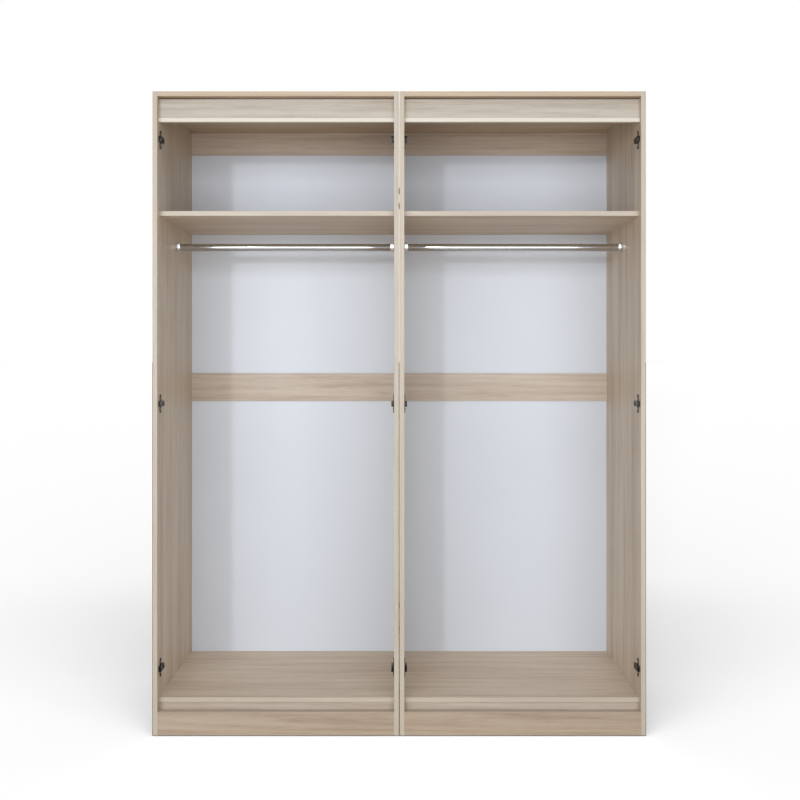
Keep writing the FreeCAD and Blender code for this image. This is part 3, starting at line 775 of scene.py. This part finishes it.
def socket_pattern():
    """A cup that stands on the plane X = 0, opens towards +X, and has its mouth up."""
    piece = half_circle(SOCKET_RADIUS)
    bpy.ops.mesh.select_mode(type="VERT")
    bpy.ops.mesh.select_all(action="DESELECT")
    shape = bmesh.from_edit_mesh(piece.data)
    for corner in shape.verts:
        corner.select = corner.co.z > -0.01
    bmesh.update_edit_mesh(piece.data)
    rise = SOCKET_ARM + 2 * SOCKET_WALL
    bpy.ops.mesh.extrude_region_move(TRANSFORM_OT_translate={"value": (0, 0, rise)})
    bpy.ops.mesh.select_all(action="SELECT")
    bpy.ops.mesh.edge_face_add()
    bpy.ops.mesh.extrude_region_move(TRANSFORM_OT_translate={"value": (SOCKET_FLOOR, 0, 0)})
    bpy.ops.mesh.select_mode(type="FACE")
    bpy.ops.mesh.inset(thickness=SOCKET_WALL)
    bpy.ops.mesh.select_all(action="SELECT")
    bpy.ops.mesh.normals_make_consistent(inside=False)
    select_faces(piece, lambda middle, normal: normal.x > 0.9)
    shape = bmesh.from_edit_mesh(piece.data)
    cup_floor = max((face for face in shape.faces if face.select),
                    key=lambda face: face.calc_area())
    cup_floor.select = False
    bmesh.update_edit_mesh(piece.data)
    reach = SOCKET_REACH - SOCKET_FLOOR
    bpy.ops.mesh.extrude_region_move(TRANSFORM_OT_translate={"value": (reach, 0, 0)})
    bpy.ops.mesh.select_all(action="SELECT")
    bpy.ops.mesh.bisect(plane_co=(0, 0, SOCKET_ARM), plane_no=(0, 0, 1), clear_outer=True,
                        use_fill=True)
    bpy.ops.mesh.select_all(action="SELECT")
    bpy.ops.mesh.normals_make_consistent(inside=False)
    bpy.ops.object.mode_set(mode="OBJECT")
    for sign in (1, -1):
        at = Vector((SOCKET_FLOOR - HEAD_HEIGHT, 0, sign * SOCKET_SCREW_PITCH / 2))
        carve(piece, rod((SCREW_HEAD + HEAD_PLAY) / 2, at, at + Vector((SOCKET_REACH, 0, 0))))
    use_modifier(piece, "BEVEL", width=SOCKET_EDGE, segments=2, limit_method="ANGLE",
                 angle_limit=radians(50))
    shrink(piece)
    smooth(piece)
    return piece


# %% Place the four sockets
INTO_BAY = {"left": Matrix.Identity(4), "right": Matrix.Rotation(pi, 4, "Z")}


def on_panel(node, side):
    """Where a fitting of one side starts: the point on the side board, turned inwards."""
    low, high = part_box(node)
    face = low.x if side == "left" else high.x
    point = (face, (low.y + high.y) / 2, (low.z + high.z) / 2)
    return Matrix.Translation(point) @ INTO_BAY[side]


def socket_frame(bay, side):
    """The same for a socket, whose middle is the tube's centre line and not its box."""
    tube_low, tube_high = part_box(f"{bay}_hanging_rail")
    spot = on_panel(f"{bay}_rail_socket_{side}", side)
    spot.translation.z = (tube_low.z + tube_high.z) / 2
    return spot


pattern = socket_pattern()
for bay in BAYS:
    for side in SIDES:
        node = f"{bay}_rail_socket_{side}"
        cup = copies_at(pattern, [socket_frame(bay, side)], f"{bay}_tube_socket_{side}")
        finish_piece(cup, chrome_cast, "carcase", "chrome_socket", node)
print("socket faces:", len(pattern.data.polygons))
bpy.data.objects.remove(pattern)

# %% [markdown]
# ## Hinge plates
#
# The plate that a concealed hinge clips onto is a small nickel casting: two round-ended
# wings with a screw each, and a raised middle with a channel for the hinge's arm, the
# hole for its fixing screw and a depth cam. It is built from two bevelled blocks that a
# boolean joins, because wings and middle have different roundings.

# %% Hinge plate pattern
WING = Vector((2.5, 13, 58))
WING_EDGE = 0.5
RAISED = Vector((8.5, 44, 17))
RAISED_CORNER = 1.5
RAISED_EDGE = 0.6
CHANNEL_RIM = 2.6
CHANNEL_DEPTH = 1.6
ARM_HOLE = 2.5
CAM_RADIUS = 3.4
CAM_ROOT = 0.5
CAM_LENGTH = 1.7
CAM_SLOT_RISE = 2.2
CAM_SLOT = Vector((2.0, 1.0, 5.2))
HINGE_SCREW_PITCH = 32


def rounded_wings():
    wings = block(WING, (WING.x / 2, 0, 0))
    bpy.ops.object.mode_set(mode="EDIT")
    select_edges(wings, lambda a, b: abs(a.x - b.x) > WING.x / 2)
    bpy.ops.mesh.bevel(offset=WING.y / 2 - 0.1, segments=10)
    select_faces(wings, lambda middle, normal: normal.x > 0.9)
    bpy.ops.mesh.bevel(offset=WING_EDGE, segments=2)
    bpy.ops.object.mode_set(mode="OBJECT")
    return wings


def raised_middle():
    middle = block(RAISED, (RAISED.x / 2, 0, 0))
    bpy.ops.object.mode_set(mode="EDIT")
    select_faces(middle, lambda centre, normal: normal.x > 0.9)
    bpy.ops.mesh.inset(thickness=CHANNEL_RIM)
    bpy.ops.mesh.extrude_region_move(TRANSFORM_OT_translate={"value": (-CHANNEL_DEPTH, 0, 0)})
    select_edges(middle, lambda a, b: abs(a.x - b.x) > RAISED.x / 2)
    bpy.ops.mesh.bevel(offset=RAISED_CORNER, segments=4)
    bpy.ops.object.mode_set(mode="OBJECT")
    use_modifier(middle, "BEVEL", width=RAISED_EDGE, segments=3, limit_method="ANGLE",
                 angle_limit=radians(60))
    return middle


def depth_cam():
    """The slotted screw behind the arm's hole that sets how deep the door sits."""
    start = Vector((RAISED.x - CHANNEL_DEPTH - CAM_ROOT, RAISED.y / 3, 0))
    cam = rod(CAM_RADIUS, start, start + Vector((CAM_LENGTH, 0, 0)))
    carve(cam, block(CAM_SLOT, start + Vector((CAM_SLOT_RISE, 0, 0))))
    return cam


def hinge_plate_pattern():
    plate = raised_middle()
    carve(plate, rounded_wings(), "UNION")
    carve(plate, depth_cam(), "UNION")
    carve(plate, rod(ARM_HOLE, (-RAISED.x, 0, 0), (2 * RAISED.x, 0, 0)))
    shrink(plate)
    smooth(plate, 30)
    return plate


# %% Place the twelve plates
pattern = hinge_plate_pattern()
plate_spots = {}
for bay in BAYS:
    for side in SIDES:
        for height in LEVELS:
            node = f"{bay}_hinge_plate_{side}_{height}"
            spot = on_panel(node, side)
            plate_spots.setdefault(bay, []).append(spot)
            plate = copies_at(pattern, [spot], f"{bay}_hinge_mount_{side}_{height}")
            finish_piece(plate, hinge_steel, "carcase", "hinge_steel", node)
print("hinge plate faces:", len(pattern.data.polygons))
bpy.data.objects.remove(pattern)

# %% [markdown]
# ## Screws
#
# The wood screws have a domed head with a cross recess and a pointed, threaded shank.
# Spinning half a profile round the axis is how a lathe would make them, and a boolean
# presses the cross into the head. One screw is made for each group and then copied.

# %% Screw pattern
SHANK_RADIUS = 1.75
SCREW_GRIP = 11
THREAD_PITCH = 1.5
THREAD_DEPTH = 0.45
CROSS = Vector((1.2, 0.9, 4.0))


def screw_profile(length):
    """Points of half a screw, from the middle of its head to its tip, as (x, radius)."""
    head = SCREW_HEAD / 2
    points = [(HEAD_HEIGHT, 0), (HEAD_HEIGHT * 0.97, head * 0.45),
              (HEAD_HEIGHT * 0.8, head * 0.75), (HEAD_HEIGHT * 0.45, head * 0.95),
              (HEAD_HEIGHT * 0.1, head), (0, head * 0.97), (0, SHANK_RADIUS)]
    turns = int((length - 2 * THREAD_PITCH) / THREAD_PITCH)
    for number in range(turns):
        crest = -(number + 0.5) * THREAD_PITCH
        points.append((crest, SHANK_RADIUS))
        points.append((crest - THREAD_PITCH / 2, SHANK_RADIUS - THREAD_DEPTH))
    return points + [(-length, 0)]


def screw_pattern(length):
    """A screw along X, with the underside of its head at X = 0."""
    start_clean()
    mesh = bpy.data.meshes.new("screw")
    points = [(x, radius, 0) for x, radius in screw_profile(length)]
    mesh.from_pydata(points, [(i, i + 1) for i in range(len(points) - 1)], [])
    piece = bpy.data.objects.new("screw", mesh)
    scene.collection.objects.link(piece)
    bpy.context.view_layer.objects.active = piece
    piece.select_set(True)
    bpy.ops.object.mode_set(mode="EDIT")
    bpy.ops.mesh.select_all(action="SELECT")
    bpy.ops.mesh.spin(steps=16, angle=2 * pi, center=(0, 0, 0), axis=(1, 0, 0))
    bpy.ops.mesh.select_all(action="SELECT")
    bpy.ops.mesh.remove_doubles(threshold=0.005)
    bpy.ops.mesh.normals_make_consistent(inside=False)
    bpy.ops.object.mode_set(mode="OBJECT")
    middle = (HEAD_HEIGHT - CROSS.x / 2 + 0.5, 0, 0)
    deep = CROSS.x + 1
    cross = block((deep, CROSS.y, CROSS.z), middle)
    carve(cross, block((deep, CROSS.z, CROSS.y), middle), "UNION")
    carve(piece, cross)
    shrink(piece)
    smooth(piece, 40)
    return piece


# %% Place the screws
def at_screws(spot, rise, pitch):
    """The places of a fitting's two screws, a rise above the side board."""
    return [spot @ Matrix.Translation(Vector((rise, 0, sign * pitch / 2)) * MILLIMETRE)
            for sign in (1, -1)]


def screw_group(bay, name, node, length, spots):
    pattern = screw_pattern(length)
    group = copies_at(pattern, spots, name)
    bpy.data.objects.remove(pattern)
    finish_piece(group, screw_steel, "carcase", "screw_steel", node)
    print(name, len(spots), "screws")


for bay in BAYS:
    spots = sum((at_screws(spot, WING.x, HINGE_SCREW_PITCH) for spot in plate_spots[bay]), [])
    screw_group(bay, f"{bay}_plate_screws", f"{bay}_hinge_plate_screws",
                WING.x + SCREW_GRIP, spots)
    sunk = SOCKET_FLOOR - HEAD_HEIGHT
    spots = sum((at_screws(socket_frame(bay, side), sunk, SOCKET_SCREW_PITCH)
                 for side in SIDES), [])
    screw_group(bay, f"{bay}_socket_screws", f"{bay}_rail_socket_screws",
                sunk + SCREW_GRIP, spots)

# %% [markdown]
# ## The floor
#
# The wardrobe stands on a wide pale floor. A shadow catcher shows the white backdrop
# wherever nothing shades it, so the floor runs into the backdrop with hardly a line, and
# it keeps a soft shadow round the foot.

# %% Stage
FLOOR_WIDTH = 400


def floor_finish():
    finish = Finish("studio_floor")
    place = object_place(finish)
    clouds = noise(finish, place, 0.8, 2, 0.5)
    stops = [(0.3, paint(206, 197, 183)), (0.7, paint(213, 205, 192))]
    color = finish.add("ShaderNodeValToRGB", {"stops": stops}, {"Fac": clouds},
                       output="Color")
    return shade(finish, {"Base Color": color, "Roughness": 0.75 + clouds * 0.1})


start_clean()
bpy.ops.mesh.primitive_plane_add(size=FLOOR_WIDTH, location=(0, 0, 0))
floor = bpy.context.object
floor.name = "studio_floor"
floor.data.materials.append(floor_finish())
floor.is_shadow_catcher = True
print("floor laid")
